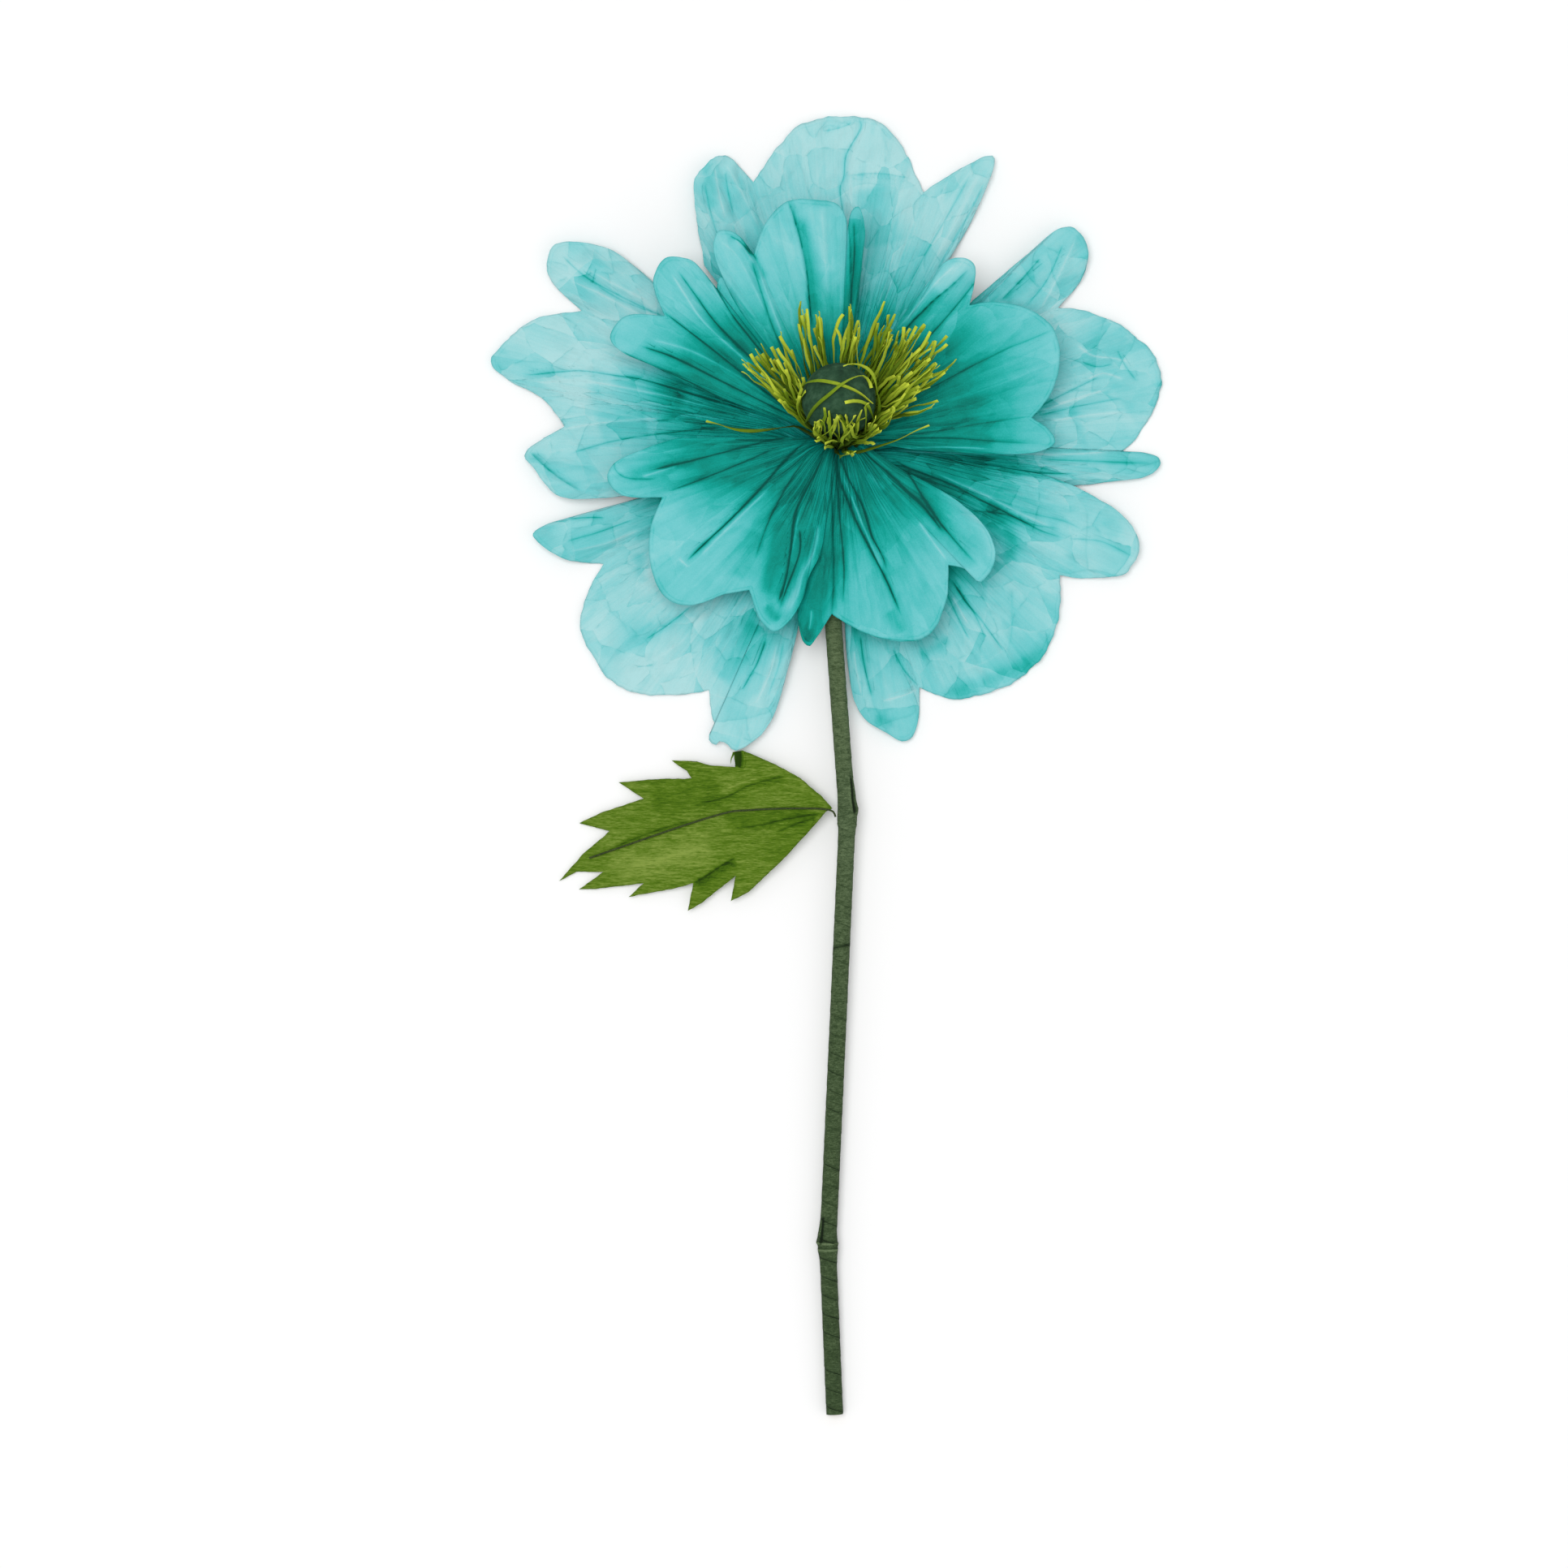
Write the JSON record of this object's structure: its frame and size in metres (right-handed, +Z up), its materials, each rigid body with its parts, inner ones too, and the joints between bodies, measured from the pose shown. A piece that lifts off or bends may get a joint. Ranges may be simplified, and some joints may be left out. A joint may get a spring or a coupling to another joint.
{
  "type": "paper flower",
  "caption": "Large gathered paper flower with three-lobed petals in two rings, a dark ball in a brush of twisted paper stamens, and a toothed leaf on a crepe-wrapped cane, lying on its back",
  "frame": {"origin": "On the table under the middle of the flower's footprint, seen from above.", "axes": "The flower lies on its back. +Y runs from the cut end of the cane to the head and the top petal, +Z is up from the table through the open face of the flower, and +X is to the right as one looks down on it with the head away."},
  "size_m": [0.41, 0.7986, 0.1087],
  "materials": {
    "bamboo": "satin",
    "stem_paper": "matte",
    "ball_paper": "matte",
    "strand_paper": "matte",
    "inner_petal_paper": "matte",
    "outer_petal_paper": "matte",
    "leaf_paper": "matte",
    "wire": "matte",
    "foam": "matte"
  },
  "bodies": {
    "root": {"bamboo_cane": "bamboo", "stem_wrap": "stem_paper", "neck_wire": "wire", "neck_tape": "stem_paper", "ball_core": "foam", "ball_cover": "ball_paper", "stamen_fringe_inner": "strand_paper", "stamen_fringe_middle": "strand_paper", "stamen_fringe_outer": "strand_paper", "inner_petal_top": "inner_petal_paper", "inner_petal_upper_right": "inner_petal_paper", "inner_petal_lower_right": "inner_petal_paper", "inner_petal_lower_left": "inner_petal_paper", "inner_petal_upper_left": "inner_petal_paper", "outer_petal_top": "outer_petal_paper", "outer_petal_upper_right": "outer_petal_paper", "outer_petal_lower_right": "outer_petal_paper", "outer_petal_lower_left": "outer_petal_paper", "outer_petal_left": "outer_petal_paper", "leaf_blade": "leaf_paper", "leaf_wire": "wire"}
  },
  "joints": []
}
